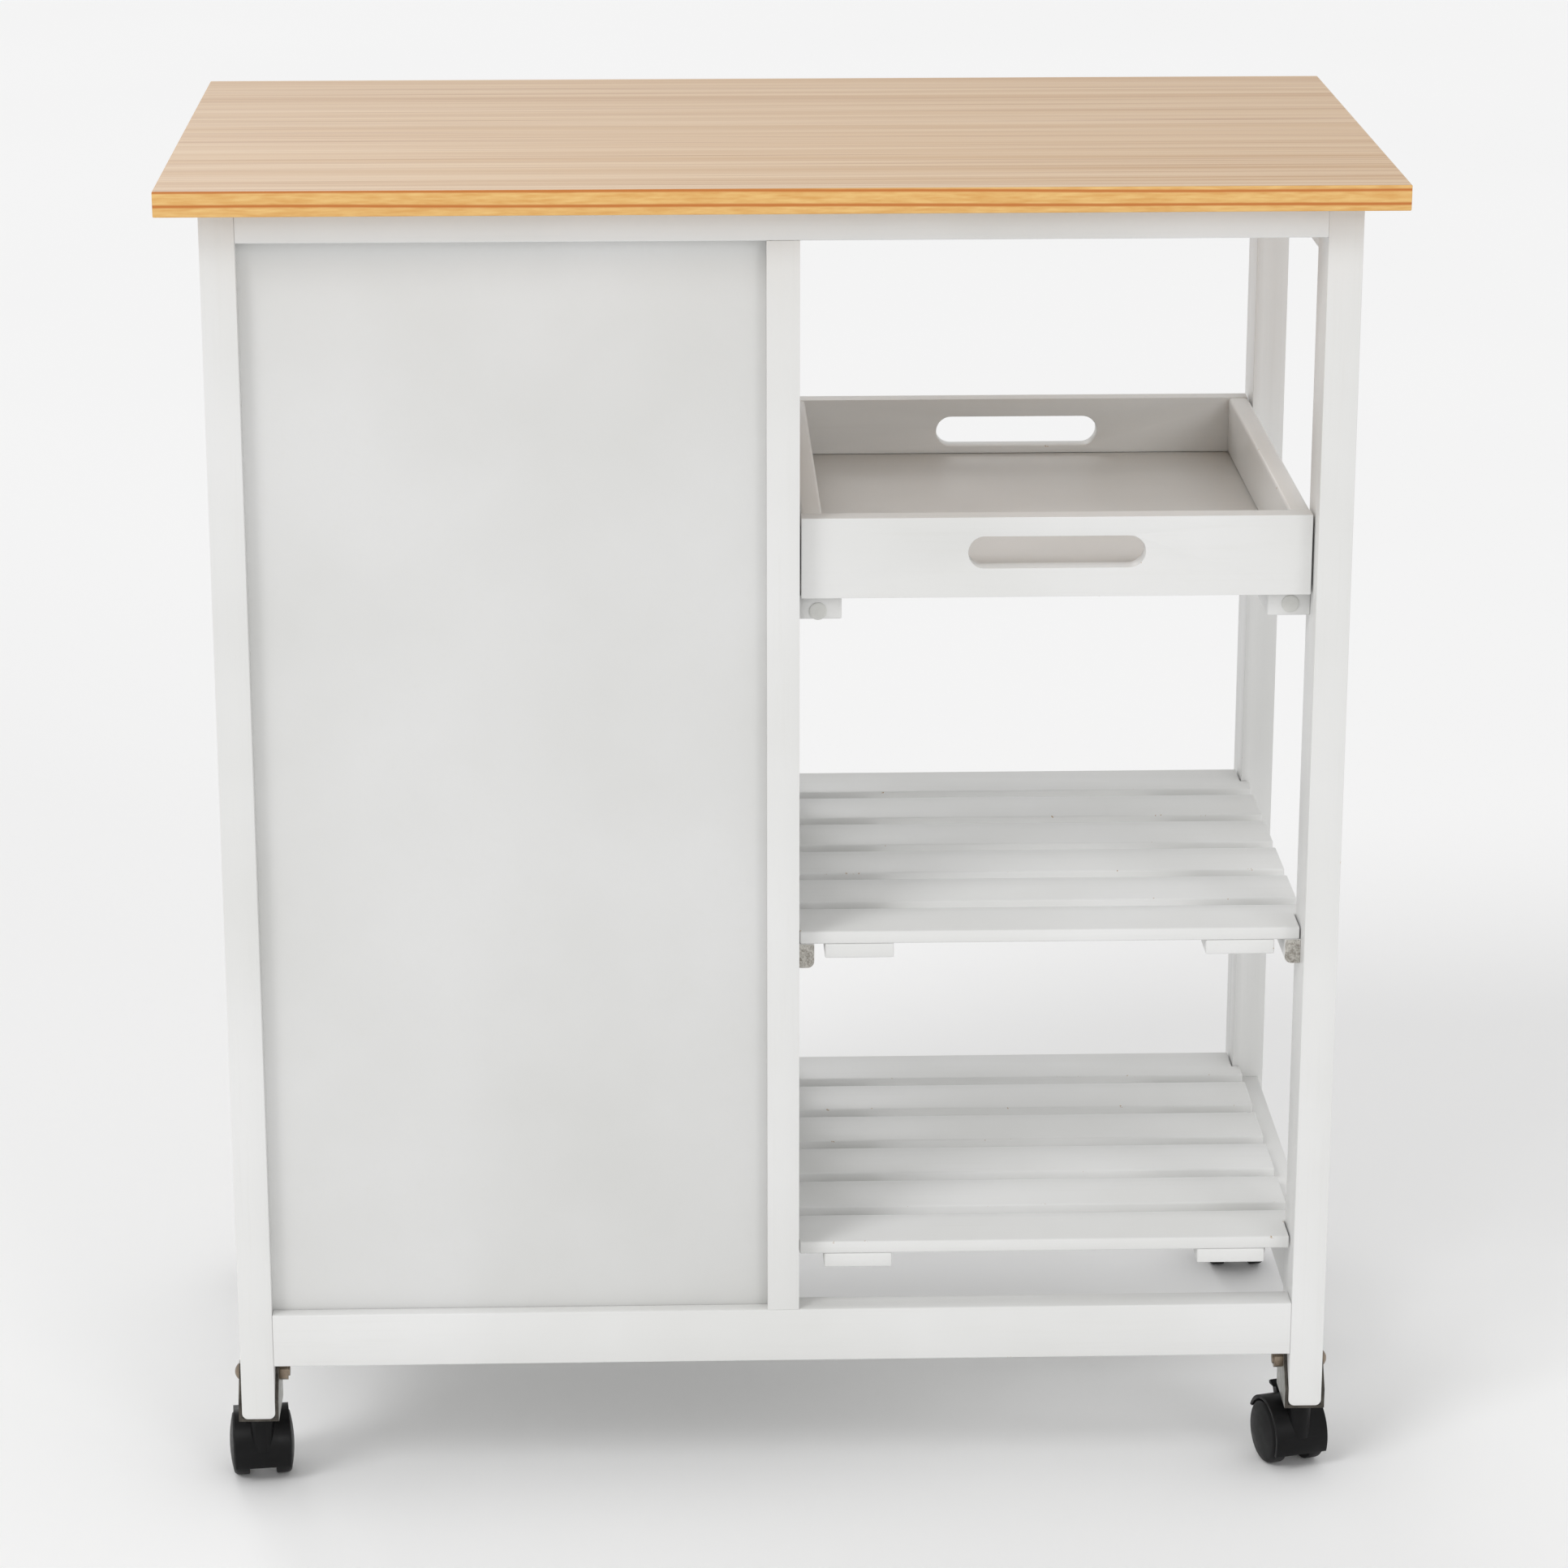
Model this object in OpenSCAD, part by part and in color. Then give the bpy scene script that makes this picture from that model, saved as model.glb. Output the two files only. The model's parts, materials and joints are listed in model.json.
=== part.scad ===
// Rolling kitchen cart: painted wooden frame, pine worktop, cupboard with a drawer on one side,
// lift-out tray and two slatted shelves on the other, on four twin-wheel casters.
// Origin on the floor under the middle of the worktop. The door and drawer face -Y.

/* [Overall] */
// Height from the floor to the top of the worktop
cart_h = 769; // [640:1:960]
// Width of the worktop
top_w = 670; // [540:1:900]
// Depth of the worktop, front to back
top_d = 370; // [300:1:480]
// Thickness of the worktop
top_t = 14; // [10:0.5:30]
// How far the worktop stands out past the legs at each side
side_overhang = 22; // [5:1:60]
// How far the worktop stands out past the legs at the front and at the back
end_overhang = 20; // [5:1:50]

/* [Frame] */
// Width of a leg, seen from the front
leg_w = 19; // [16:0.5:30]
// Depth of a leg, front to back
leg_d = 38; // [34:1:60]
// Radius on the bottom corners of a leg
leg_corner_r = 3.5; // [1:0.5:6]
// Width of the two centre posts
post_w = 18; // [16:0.5:30]
// Thickness of the long rails and depth of the centre posts
rail_t = 18; // [16:0.5:24]
// Height of the top rails
top_rail_h = 18; // [18:1:40]
// Height of the bottom rails
bottom_rail_h = 32; // [24:1:60]
// Height of the underside of the bottom rails above the floor
bottom_rail_z = 82; // [80:1:110]
// Height of the short aprons under the worktop
apron_h = 31; // [26:1:60]
// Height of the short rails under the bottom shelf
side_rail_h = 34; // [28:1:50]
// Thickness of the short aprons and rails
short_rail_t = 16; // [14:0.5:18]
// Length of the stub tenons
tenon_l = 8; // [4:0.5:8]
// Width of the stub tenons
tenon_w = 6; // [4:0.5:8]
// Clearance all round a tenon or a panel edge in its slot
joint_fit = 0.1; // [0.05:0.05:0.3]

/* [Shelves] */
// Height of the top of the middle shelf above the floor
middle_shelf_z = 339.3; // [250:0.1:420]
// Height of the top of the bottom shelf above the floor
bottom_shelf_z = 150; // [135:1:180]
// How far the shelves stay back from the outer faces of the legs
shelf_setback = 14; // [8:0.5:20]
// Width of one slat
slat_w = 40.5; // [25:0.5:60]
// Smallest gap between two slats
slat_gap_min = 9; // [5:0.5:20]
// Thickness of the slats
slat_t = 7.5; // [5:0.5:12]
// How far the slat ends reach past the inner faces of the legs and posts
end_lap = 4.2; // [2:0.1:5]
// Gap between a notched slat and the leg or post that it passes
notch_gap = 0.75; // [0.25:0.25:3]
// Width of the battens that join the slats
batten_w = 39; // [20:1:60]
// Thickness of the battens
batten_t = 8.4; // [5:0.1:14]
// Distance from a batten to the end of the bay
batten_inset = 15; // [12:0.5:40]
// Width of the cleats that carry the middle shelf
cleat_w = 9; // [9:0.5:11]
// Height of the cleats
cleat_h = 14.3; // [10:0.1:25]
// Radius on the lower inner edge of a cleat
cleat_r = 4; // [1:0.5:4.5]

/* [Tray] */
// Height of the underside of the tray above the floor
tray_z = 534.5; // [450:0.5:600]
// Height of the tray walls
tray_h = 45.4; // [42:0.1:90]
// Thickness of the tray walls
tray_wall = 12; // [9:0.5:16]
// Thickness of the tray floor
tray_floor_t = 4; // [3:0.5:6]
// Height of the underside of the tray floor above that of the walls
tray_floor_lift = 7.5; // [4:0.5:10]
// How far the tray stays back from the outer faces of the legs
tray_setback = 13; // [8:0.5:20]
// Gap at each side of the tray
tray_gap = 1.25; // [0.5:0.25:4]
// Length of the hand slots
slot_l = 98; // [70:1:140]
// Height of the hand slots
slot_h = 18; // [14:1:22]
// Distance from the top of a hand slot to the top of its wall
slot_drop = 11; // [8:0.5:14]
// Width of the runners under the tray
runner_w = 24; // [12:1:35]
// Height of the runners under the tray
runner_h = 14; // [10:1:25]
// How far the runners stay back from the outer faces of the legs
runner_setback = 22; // [10:0.5:26]
// Gap between a sliding piece and what it slides on
slide_gap = 0.3; // [0.1:0.1:1]

/* [Cupboard] */
// Thickness of the back and side panels
panel_t = 3; // [3:0.5:5]
// Depth of the slots that hold the panels
groove_d = 4; // [3:0.5:4]
// How far the back panel is set in from the backs of the legs
panel_recess = 9; // [8:0.5:11]
// Thickness of the panel between the cupboard and the shelves
divider_t = 5; // [3:0.5:5]
// Thickness of the cupboard floor
floor_t = 9; // [6:0.5:16]
// Gap round the door and the drawer front
front_gap = 2; // [2:0.5:4]
// Thickness of the door and the drawer front
front_t = 16; // [14:0.5:18]
// Height of the rail between the drawer and the door
drawer_rail_h = 18; // [18:1:30]
// Height of the drawer front
drawer_front_h = 98; // [90:1:140]
// Thickness of the drawer sides and back
drawer_wall = 10; // [8:0.5:14]
// Height of the drawer sides
drawer_side_h = 72; // [50:1:75]
// Height of the drawer sides' lower edge above that of the drawer front
drawer_lift = 10; // [6:0.5:14]
// Height of the drawer floor above the lower edge of the sides
drawer_floor_lift = 6; // [4:0.5:12]
// Thickness of the drawer floor
drawer_floor_t = 3; // [3:0.5:5]
// Space between the drawer and the back panel
drawer_back_gap = 45; // [10:1:90]
// Height of the rails that the drawer runs on
drawer_runner_h = 14; // [8:1:20]
// Width of the door's frame members
stile_w = 45; // [35:1:70]
// Thickness of the panel in the door
door_panel_t = 4; // [3:0.5:6]
// Depth of the slot round the door's panel
door_groove = 6; // [4:0.5:8]
// Diameter of the knobs
knob_d = 25; // [20:1:34]
// How far the knobs stand out
knob_l = 19; // [16:1:28]

/* [Hinges] */
// Height of a hinge
hinge_h = 40; // [30:1:60]
// Thickness of a hinge leaf
leaf_t = 0.8; // [0.5:0.1:0.8]
// Radius of a hinge knuckle
knuckle_r = 2.4; // [2:0.1:3]
// Radius of a hinge pin
hinge_pin_r = 1; // [0.8:0.1:1.2]
// Running clearance round pins, stems and axles
running_fit = 0.05; // [0.02:0.01:0.1]
// Distance from the end of the door to its nearest hinge
hinge_inset = 50; // [30:1:90]

/* [Casters] */
// Height from the floor to the underside of a caster's bracket
caster_h = 47.3; // [46:0.1:52]
// Thickness of the bracket
bracket_t = 2; // [1.5:0.25:3]
// Width of the bracket, front to back
bracket_w = 36; // [24:1:37]
// Height of the bolt above the underside of the bracket
bolt_rise = 23.8; // [20:0.1:28]
// Diameter of the bolt
bolt_d = 6; // [5:0.5:8]
// Radius of a wheel
wheel_r = 19; // [17:0.5:20]
// Width of a wheel
wheel_w = 11; // [9:0.5:12]
// Radius on the outer edge of a wheel
wheel_edge_r = 4; // [2:0.5:4]
// Width of the hood's middle, between the wheels
hub_w = 15; // [14:0.5:18]
// Width of the hood's cover
hood_w = 32; // [28:0.5:34]
// Wall of the hood's cover
hood_wall = 2.2; // [1:0.1:3]
// Space between a wheel and the hood
wheel_gap = 0.6; // [0.4:0.1:1]
// Distance from the swivel axis to the axle
trail = 16; // [14:0.5:17]
// Radius of the swivel stem
stem_r = 3.5; // [3:0.25:4]
// Radius of an axle
axle_r = 2.5; // [2:0.25:3]
// Height of the hood's lower edge above the floor
hood_bottom = 11; // [9:0.5:14]
// Swivel angle of the back left caster as it stands
rear_left_angle = 16; // [-40:1:40]
// Swivel angle of the back right caster as it stands
rear_right_angle = 6; // [-40:1:40]

/* [Hidden] */
$fn = 48;
lap = 1;

frame_x = top_w / 2 - side_overhang;
frame_y = top_d / 2 - end_overhang;
under_top = cart_h - top_t;
leg_z = caster_h + bracket_t;
leg_x = frame_x - leg_w / 2;
leg_y = frame_y - leg_d / 2;
leg_inner_y = frame_y - leg_d;

bay_out = frame_x - leg_w;
bay_in = post_w / 2;
bay_mid = (bay_out + bay_in) / 2;
post_y = frame_y - rail_t / 2;
post_inner_y = frame_y - rail_t;
short_rail_x = bay_out + short_rail_t / 2;

top_rail_z = under_top - top_rail_h;
bottom_rail_top = bottom_rail_z + bottom_rail_h;
apron_z = under_top - apron_h;
shelf_support_z = bottom_shelf_z - slat_t;
side_rail_z = shelf_support_z - side_rail_h;
long_shoulder = 5;
short_shoulder = 8;

shelf_d = 2 * (frame_y - shelf_setback);
slat_n = floor((shelf_d + slat_gap_min) / (slat_w + slat_gap_min));
slat_pitch = (shelf_d - slat_w) / (slat_n - 1);

tray_w = bay_out - bay_in - 2 * tray_gap;
tray_d = 2 * (frame_y - tray_setback);
tray_floor_z = tray_z + tray_floor_lift;
slot_z = tray_z + tray_h - slot_drop - slot_h / 2;

front_x = [bay_in + front_gap, bay_out - front_gap];
front_y = [-frame_y, -frame_y + front_t];
drawer_top = top_rail_z - front_gap;
drawer_z = drawer_top - drawer_front_h;
drawer_rail_top = drawer_z - front_gap;
drawer_rail_z = drawer_rail_top - drawer_rail_h;
drawer_box_z = drawer_z + drawer_lift;
drawer_floor_z = drawer_box_z + drawer_floor_lift;
panel_y = frame_y - panel_recess - panel_t;
drawer_back_y = panel_y - drawer_back_gap;
door_z = bottom_rail_top + front_gap;
door_top = drawer_rail_z - front_gap;
door_panel_y = -frame_y + front_t / 2;

hinge_x = bay_out - front_gap / 2;
hinge_y = -frame_y - knuckle_r - 0.4;
hinge_zs = [door_z + hinge_inset + hinge_h / 2, door_top - hinge_inset - hinge_h / 2];
knuckle_gap = 0.3;

hood_r = wheel_r + wheel_gap + hood_wall;
wheel_in = hub_w / 2 + 0.5;
stem_bottom = 26;
boss_r = 6.5;
boss_z = 22;
boss_top = caster_h - 1.3;
lever_w = 6.5;
lever_x = 0;
lever_pivot = [-25, 31.5];
lever_hub_r = 3.5;
lever_pin_r = 1.5;
lever_tip = [-3, 5];
head_r = 5.2;
head_h = 3;
dome_r = (head_r ^ 2 + head_h ^ 2) / (2 * head_h);
nut_d = 10;
nut_t = 5;

CASTERS = [
  ["front_left", -1, -1, 0],
  ["front_right", 1, -1, 0],
  ["rear_left", -1, 1, rear_left_angle],
  ["rear_right", 1, 1, rear_right_angle]
];
LEVER_CASTERS = [CASTERS[2], CASTERS[3]];
LEGS = [
  ["front_left", -1, -1],
  ["front_right", 1, -1],
  ["rear_left", -1, 1],
  ["rear_right", 1, 1]
];
ENDS = [["front", -1], ["rear", 1]];

// The two ends of a length, given its middle and half of it
function about(middle, half) = [middle - half, middle + half];

// A straight-sided block between two corners
module block(x, y, z)
  translate([x[0], y[0], z[0]])
    cube([x[1] - x[0], y[1] - y[0], z[1] - z[0]]);

// The same shape at the front and at the back
module both_ends()
  for (turn = [0, 1]) mirror([0, turn, 0]) children();

// The same shape at the left and at the right
module both_sides()
  for (turn = [0, 1]) mirror([turn, 0, 0]) children();

// A flat outline drawn in Y and Z, given a thickness along X
module along_x(width)
  rotate([90, 0, 90]) linear_extrude(width, center = true) children();

// A flat outline drawn in X and Z, given a thickness along Y
module along_y(depth)
  rotate([90, 0, 0]) linear_extrude(depth, center = true) children();

// Board that covers the frame
module worktop() color("burlywood")
  block([-top_w / 2, top_w / 2], [-top_d / 2, top_d / 2], [under_top, cart_h]);

// Stub tenons at the ends of a long rail, from leg to leg
module long_tenons(side, z, h, fit = 0)
  both_sides() block(
    [bay_out - lap, bay_out + tenon_l + fit],
    about(side * post_y, tenon_w / 2 + fit),
    [z + long_shoulder - fit, z + h - long_shoulder + fit]
  );

// Stub tenons at the ends of a short rail, from a front upright to a back one
module short_tenons(x, reach, z, h, fit = 0)
  both_ends() block(
    about(x, tenon_w / 2 + fit),
    [reach - lap, reach + tenon_l + fit],
    [z + short_shoulder - fit, z + h - short_shoulder + fit]
  );

// Stub tenons at the top and bottom of a centre post
module post_tenons(side, fit = 0)
  block(
    about(0, tenon_w / 2 + fit),
    about(side * post_y, tenon_w / 2 + fit),
    [bottom_rail_top - tenon_l - fit, top_rail_z + tenon_l + fit]
  );

// Stub tenons at the ends of the rail between the drawer and the door
module drawer_rail_tenons(fit = 0)
  block(
    [bay_in - tenon_l - fit, bay_out + tenon_l + fit],
    about(-post_y, tenon_w / 2 + fit),
    [drawer_rail_z + long_shoulder - fit, drawer_rail_top - long_shoulder + fit]
  );

module back_panel_shape(fit = 0)
  block(
    [bay_in - groove_d - fit, bay_out + groove_d + fit],
    [panel_y - fit, panel_y + panel_t + fit],
    [bottom_rail_top - groove_d - fit, top_rail_z + groove_d + fit]
  );

module side_panel_shape(fit = 0)
  block(
    about(short_rail_x, panel_t / 2 + fit),
    about(0, leg_inner_y + groove_d + fit),
    [shelf_support_z - groove_d - fit, apron_z + groove_d + fit]
  );

// Edges of the divider that sit in the centre posts
module divider_tongues(fit = 0)
  block(
    about(0, divider_t / 2 + fit),
    about(0, post_inner_y + groove_d + fit),
    [shelf_support_z - fit, top_rail_z + fit]
  );

// Upright at a corner of the frame
module leg(x_side, y_side) color("whitesmoke")
  difference() {
    translate([x_side * leg_x, y_side * leg_y, leg_z])
      along_y(leg_d) union() {
        translate([-leg_w / 2, leg_corner_r])
          square([leg_w, under_top - leg_z - leg_corner_r]);
        translate([-leg_w / 2 + leg_corner_r, 0])
          square([leg_w - 2 * leg_corner_r, leg_corner_r + lap]);
        for (side = [-1, 1])
          translate([side * (leg_w / 2 - leg_corner_r), leg_corner_r]) circle(leg_corner_r);
      }
    long_tenons(y_side, top_rail_z, top_rail_h, joint_fit);
    long_tenons(y_side, bottom_rail_z, bottom_rail_h, joint_fit);
    both_sides() short_tenons(short_rail_x, leg_inner_y, apron_z, apron_h, joint_fit);
    both_sides() short_tenons(short_rail_x, leg_inner_y, side_rail_z, side_rail_h, joint_fit);
    drawer_rail_tenons(joint_fit);
    back_panel_shape(joint_fit);
    side_panel_shape(joint_fit);
    translate([x_side * leg_x, y_side * leg_y, caster_h + bolt_rise])
      rotate([0, 90, 0]) cylinder(r = bolt_d / 2 + 0.2, h = leg_w + 2, center = true);
  }

// Upright between the cupboard and the shelves
module centre_post(side) color("whitesmoke")
  difference() {
    union() {
      block(
        [-bay_in, bay_in],
        about(side * post_y, rail_t / 2),
        [bottom_rail_top, top_rail_z]
      );
      post_tenons(side);
    }
    short_tenons(0, post_inner_y, side_rail_z, side_rail_h, joint_fit);
    divider_tongues(joint_fit);
    back_panel_shape(joint_fit);
    drawer_rail_tenons(joint_fit);
  }

// Rail from leg to leg
module long_rail(side, z, h) color("whitesmoke")
  difference() {
    union() {
      block([-bay_out, bay_out], about(side * post_y, rail_t / 2), [z, z + h]);
      long_tenons(side, z, h);
    }
    post_tenons(side, joint_fit);
    back_panel_shape(joint_fit);
  }

module side_aprons() color("whitesmoke")
  difference() {
    both_sides() union() {
      block([bay_out, bay_out + short_rail_t], about(0, leg_inner_y), [apron_z, under_top]);
      short_tenons(short_rail_x, leg_inner_y, apron_z, apron_h);
    }
    side_panel_shape(joint_fit);
  }

// Rails that the bottom shelf and the cupboard floor rest on, one at each side and one between
module side_rails() color("whitesmoke")
  difference() {
    union() {
      both_sides() union() {
        block([bay_out, bay_out + short_rail_t], about(0, leg_inner_y), [side_rail_z, shelf_support_z]);
        short_tenons(short_rail_x, leg_inner_y, side_rail_z, side_rail_h);
      }
      block(about(0, short_rail_t / 2), about(0, post_inner_y), [side_rail_z, shelf_support_z]);
      short_tenons(0, post_inner_y, side_rail_z, side_rail_h);
    }
    side_panel_shape(joint_fit);
  }

module drawer_rail() color("whitesmoke")
  union() {
    block([bay_in, bay_out], about(-post_y, rail_t / 2), [drawer_rail_z, drawer_rail_top]);
    drawer_rail_tenons();
  }

module divider_panel() color("whitesmoke")
  union() {
    block(about(0, divider_t / 2), about(0, post_inner_y), [shelf_support_z, under_top]);
    divider_tongues();
  }

module back_panel() color("whitesmoke") back_panel_shape();

module side_panel() color("whitesmoke") side_panel_shape();

module cupboard_floor() color("whitesmoke")
  union() {
    block(
      [bay_in - end_lap, bay_out + end_lap],
      about(0, leg_inner_y - notch_gap),
      [shelf_support_z, shelf_support_z + floor_t]
    );
    block(
      [bay_in + notch_gap, bay_out - notch_gap],
      [-post_inner_y + notch_gap, panel_y - notch_gap],
      [shelf_support_z, shelf_support_z + floor_t]
    );
  }

// Bars under the tray, fixed to the legs and to the centre posts
module tray_runners() color("whitesmoke")
  for (x = [-bay_out, -bay_in - runner_w])
    block(
      [x, x + runner_w],
      about(0, frame_y - runner_setback),
      [tray_z - slide_gap - runner_h, tray_z - slide_gap]
    );

// Slats across the open bay, notched where they pass the legs and posts
module shelf_slats(top) color("whitesmoke")
  difference() {
    for (i = [0 : slat_n - 1])
      block(
        [-bay_out - end_lap, -bay_in + end_lap],
        about((slat_w - shelf_d) / 2 + i * slat_pitch, slat_w / 2),
        [top - slat_t, top]
      );
    both_ends() block(
      [-bay_out - end_lap - lap, -bay_out + notch_gap],
      [leg_inner_y - notch_gap, frame_y],
      [top - slat_t - lap, top + lap]
    );
    both_ends() block(
      [-bay_in - notch_gap, -bay_in + end_lap + lap],
      [post_inner_y - notch_gap, frame_y],
      [top - slat_t - lap, top + lap]
    );
  }

// Two battens that the slats are nailed to
module shelf_battens(top) color("whitesmoke")
  for (x = [-bay_out + batten_inset, -bay_in - batten_inset - batten_w])
    block([x, x + batten_w], about(0, shelf_d / 2), [top - slat_t - batten_t, top - slat_t]);

// Outline of a cleat, with its inner lower edge rounded
module cleat_outline()
  union() {
    translate([0, cleat_r]) square([cleat_w, cleat_h - cleat_r]);
    square([cleat_w - cleat_r, cleat_r + lap]);
    translate([cleat_w - cleat_r, cleat_r]) circle(cleat_r);
  }

// Two cleats that carry the middle shelf
module middle_shelf_cleats() color("gainsboro")
  translate([0, 0, middle_shelf_z - slat_t - cleat_h]) {
    translate([-bay_out, 0, 0]) along_y(shelf_d) cleat_outline();
    translate([-bay_in, 0, 0]) mirror([1, 0, 0]) along_y(shelf_d) cleat_outline();
  }

module tray_floor_shape(fit = 0)
  translate([-bay_mid, 0, 0])
    block(
      about(0, tray_w / 2 - tray_wall + groove_d + fit),
      about(0, tray_d / 2 - tray_wall + groove_d + fit),
      [tray_floor_z - fit, tray_floor_z + tray_floor_t + fit]
    );

// End wall of the tray, with a hand slot
module tray_end(side) color("whitesmoke")
  difference() {
    translate([-bay_mid, 0, 0])
      block(
        about(0, tray_w / 2),
        about(side * (tray_d - tray_wall) / 2, tray_wall / 2),
        [tray_z, tray_z + tray_h]
      );
    tray_floor_shape(joint_fit);
    translate([-bay_mid, side * tray_d / 2, slot_z]) {
      cube([slot_l - slot_h, 3 * tray_wall, slot_h], center = true);
      for (end = [-1, 1])
        translate([end * (slot_l - slot_h) / 2, 0, 0])
          rotate([90, 0, 0]) cylinder(d = slot_h, h = 3 * tray_wall, center = true);
    }
  }

module tray_sides() color("whitesmoke")
  difference() {
    translate([-bay_mid, 0, 0]) both_sides()
      block(
        [tray_w / 2 - tray_wall, tray_w / 2],
        about(0, tray_d / 2 - tray_wall),
        [tray_z, tray_z + tray_h]
      );
    tray_floor_shape(joint_fit);
  }

module tray_floor() color("whitesmoke") tray_floor_shape();

module drawer_floor_shape(fit = 0)
  block(
    [front_x[0] + drawer_wall - groove_d - fit, front_x[1] - drawer_wall + groove_d + fit],
    [front_y[1] - groove_d - fit, drawer_back_y],
    [drawer_floor_z - fit, drawer_floor_z + drawer_floor_t + fit]
  );

module drawer_front() color("whitesmoke")
  difference() {
    block(front_x, front_y, [drawer_z, drawer_top]);
    drawer_floor_shape(joint_fit);
  }

module drawer_sides() color("wheat")
  difference() {
    translate([bay_mid, 0, 0]) both_sides()
      block(
        [(front_x[1] - front_x[0]) / 2 - drawer_wall, (front_x[1] - front_x[0]) / 2],
        [front_y[1], drawer_back_y],
        [drawer_box_z, drawer_box_z + drawer_side_h]
      );
    drawer_floor_shape(joint_fit);
  }

module drawer_back() color("wheat")
  block(
    [front_x[0] + drawer_wall, front_x[1] - drawer_wall],
    [drawer_back_y - drawer_wall, drawer_back_y],
    [drawer_floor_z + drawer_floor_t, drawer_box_z + drawer_side_h]
  );

module drawer_floor() color("whitesmoke") drawer_floor_shape();

// Rails under the drawer's sides, on the legs and on the divider
module drawer_runners() color("wheat")
  for (x = [[divider_t / 2, front_x[0] + drawer_wall], [front_x[1] - drawer_wall, bay_out]])
    block(
      x,
      about(0, post_inner_y),
      [drawer_box_z - slide_gap - drawer_runner_h, drawer_box_z - slide_gap]
    );

// Round knob, turned from one piece, with its back on the front's face
module knob(x, z) color("silver")
  translate([x, -frame_y, z]) rotate([90, 0, 0]) rotate_extrude() union() {
    square([8, 2]);
    square([5, knob_l - lap]);
    translate([0, knob_l - 9]) square([knob_d / 2 - 4.5, 9]);
    intersection() {
      translate([knob_d / 2 - 4.5, knob_l - 4.5]) circle(4.5);
      square([knob_d, knob_l]);
    }
  }

module drawer_knob() knob(bay_mid, (drawer_z + drawer_top) / 2);

module door_knob() knob(front_x[0] + stile_w / 2, (door_z + door_top) / 2);

// Slot for the panel, cut along the inner edges of the door's frame
module door_slot(z, fit = 0)
  block(
    [front_x[0] + stile_w - door_groove - fit, front_x[1] - stile_w + door_groove + fit],
    about(door_panel_y, door_panel_t / 2 + fit),
    z
  );

module door_stiles() color("whitesmoke")
  difference() {
    for (x = [front_x[0], front_x[1] - stile_w])
      block([x, x + stile_w], front_y, [door_z, door_top]);
    door_slot([door_z - lap, door_top + lap], joint_fit);
  }

// Top and bottom members of the door's frame, with tenons as long as the slot is deep
module door_rails() color("whitesmoke")
  difference() {
    for (z = [door_z, door_top - stile_w]) union() {
      block([front_x[0] + stile_w, front_x[1] - stile_w], front_y, [z, z + stile_w]);
      door_slot([z, z + stile_w]);
    }
    door_slot(
      [door_z + stile_w - door_groove - joint_fit, door_top - stile_w + door_groove + joint_fit],
      joint_fit
    );
  }

module door_panel() color("whitesmoke")
  door_slot([door_z + stile_w - door_groove, door_top - stile_w + door_groove]);

// Round bar on a hinge's axis, between two heights
module on_hinge(r, z)
  translate([hinge_x, hinge_y, z[0]]) cylinder(r = r, h = z[1] - z[0]);

// Leaves on the frame, each with two outer knuckles and its pin staked in them
module frame_hinge_leaves() color("silver")
  for (z = hinge_zs) {
    outer = [[z - hinge_h / 2, z - hinge_h / 6], [z + hinge_h / 6, z + hinge_h / 2]];
    union() {
      difference() {
        block(
          [bay_out - leaf_t, bay_out],
          [hinge_y, front_y[1] - lap],
          about(z, hinge_h / 2)
        );
        on_hinge(knuckle_r + knuckle_gap, about(z, hinge_h / 6));
      }
      for (part = outer) on_hinge(knuckle_r, part);
      on_hinge(hinge_pin_r, about(z, hinge_h / 2));
    }
  }

// Leaves on the door, each with one middle knuckle
module door_hinge_leaves() color("silver")
  for (z = hinge_zs) difference() {
    union() {
      difference() {
        block(
          [front_x[1], front_x[1] + leaf_t],
          [hinge_y, front_y[1] - lap],
          about(z, hinge_h / 2)
        );
        for (end = [-1, 1])
          on_hinge(
            knuckle_r + knuckle_gap,
            about(z + end * hinge_h / 3, hinge_h / 6 + knuckle_gap)
          );
      }
      on_hinge(knuckle_r, about(z, hinge_h / 6 - knuckle_gap));
    }
    on_hinge(hinge_pin_r + running_fit, about(z, hinge_h / 2 + lap));
  }

// Places a caster's pieces under its leg, turned about the swivel axis
module at_caster(c)
  translate([c[1] * leg_x, c[2] * leg_y, 0]) rotate([0, 0, c[3]]) children();

// Outline of one arm of the bracket, narrowing to a round end at the bolt
module arm_outline()
  union() {
    polygon([
      [-bracket_w / 2, 0],
      [bracket_w / 2, 0],
      [bracket_w / 2, bolt_rise / 2],
      [bolt_d * 4 / 3, bolt_rise + bolt_d / 3],
      [-bolt_d * 4 / 3, bolt_rise + bolt_d / 3],
      [-bracket_w / 2, bolt_rise / 2]
    ]);
    translate([0, bolt_rise]) circle(bolt_d * 1.37);
  }

// Sheet-metal brackets folded round the legs, each with its swivel stem
module caster_brackets() color("silver")
  for (c = CASTERS) translate([c[1] * leg_x, c[2] * leg_y, 0]) difference() {
    union() {
      block(
        about(0, leg_w / 2 + bracket_t),
        about(0, bracket_w / 2),
        [caster_h, caster_h + bracket_t]
      );
      for (side = [-1, 1])
        translate([side * (leg_w + bracket_t) / 2, 0, caster_h]) along_x(bracket_t) arm_outline();
      translate([0, 0, stem_bottom]) cylinder(r = stem_r, h = caster_h - stem_bottom + lap);
    }
    translate([0, 0, caster_h + bolt_rise])
      rotate([0, 90, 0]) cylinder(r = bolt_d / 2 + 0.1, h = 2 * leg_w, center = true);
  }

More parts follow.
